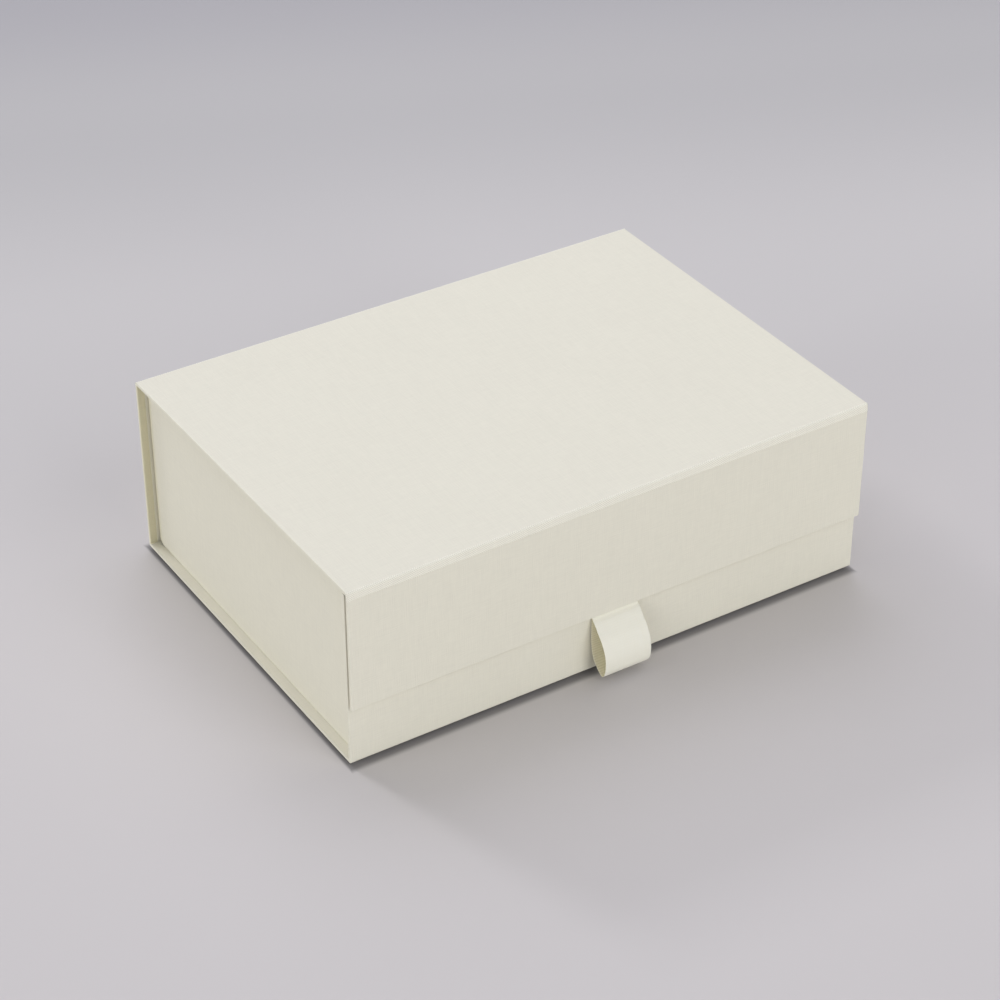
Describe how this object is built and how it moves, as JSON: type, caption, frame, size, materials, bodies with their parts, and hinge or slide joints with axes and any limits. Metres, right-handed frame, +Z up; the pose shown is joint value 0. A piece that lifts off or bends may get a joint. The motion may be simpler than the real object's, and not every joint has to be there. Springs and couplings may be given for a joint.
{
  "type": "hinged-lid gift box",
  "caption": "Low rectangular rigid gift box of paper-wrapped board, with a back-hinged lid, a closing front flap and a ribbon pull loop.",
  "frame": {"origin": "centre of the base's flat underside, midway between the outer faces of the front and back walls", "axes": "+X to the right along the width, +Y towards the hinge at the back, +Z up"},
  "size_m": [0.23, 0.1741, 0.078],
  "materials": {
    "cover_paper": "matt uncoated paper with a fine laid, linen-like tooth",
    "lining_paper": "matt uncoated paper, smooth",
    "greyboard": "dull recycled greyboard",
    "steel_disc": "plain stamped steel",
    "magnet": "bright nickel plate",
    "tape": "clear adhesive film",
    "ribbon": "fine-ribbed grosgrain with woven edges"
  },
  "bodies": {
    "tray": {"base_board": "greyboard", "base_wrap": "cover_paper", "base_lining": "lining_paper", "front_board": "greyboard", "front_wrap": "cover_paper", "front_lining": "lining_paper", "front_steel_discs": "steel_disc", "back_board": "greyboard", "back_wrap": "cover_paper", "back_lining": "lining_paper", "left_side_board": "greyboard", "left_side_wrap": "cover_paper", "left_side_lining": "lining_paper", "left_front_ear_board": "greyboard", "left_back_ear_board": "greyboard", "right_side_board": "greyboard", "right_side_wrap": "cover_paper", "right_side_lining": "lining_paper", "right_front_ear_board": "greyboard", "right_back_ear_board": "greyboard", "ear_tapes": "tape"},
    "lid": {"lid_board": "greyboard", "lid_wrap": "cover_paper", "lid_lining": "lining_paper", "lid_crease": "cover_paper"},
    "flap": {"flap_board": "greyboard", "flap_wrap": "cover_paper", "flap_lining": "lining_paper", "flap_magnets": "magnet", "ribbon_tails": "ribbon", "flap_crease": "cover_paper"},
    "ribbon": {"ribbon_loop": "ribbon"}
  },
  "joints": [
    {"name": "lid_hinge", "type": "hinge", "parent": "tray", "child": "lid", "pos_m": [0, 0.08143, 0.07768], "axis": [-1, 0, 0], "range_deg": [0, 175], "deforming": ["lid_crease"]},
    {"name": "flap_hinge", "type": "hinge", "parent": "lid", "child": "flap", "pos_m": [0, -0.08397, 0.07767], "axis": [-1, 0, 0], "range_deg": [0, 120], "deforming": ["flap_crease"]},
    {"name": "ribbon_swing", "type": "hinge", "parent": "flap", "child": "ribbon", "pos_m": [0, -0.0825, 0.0256], "axis": [-1, 0, 0], "range_deg": [0, 75]}
  ]
}
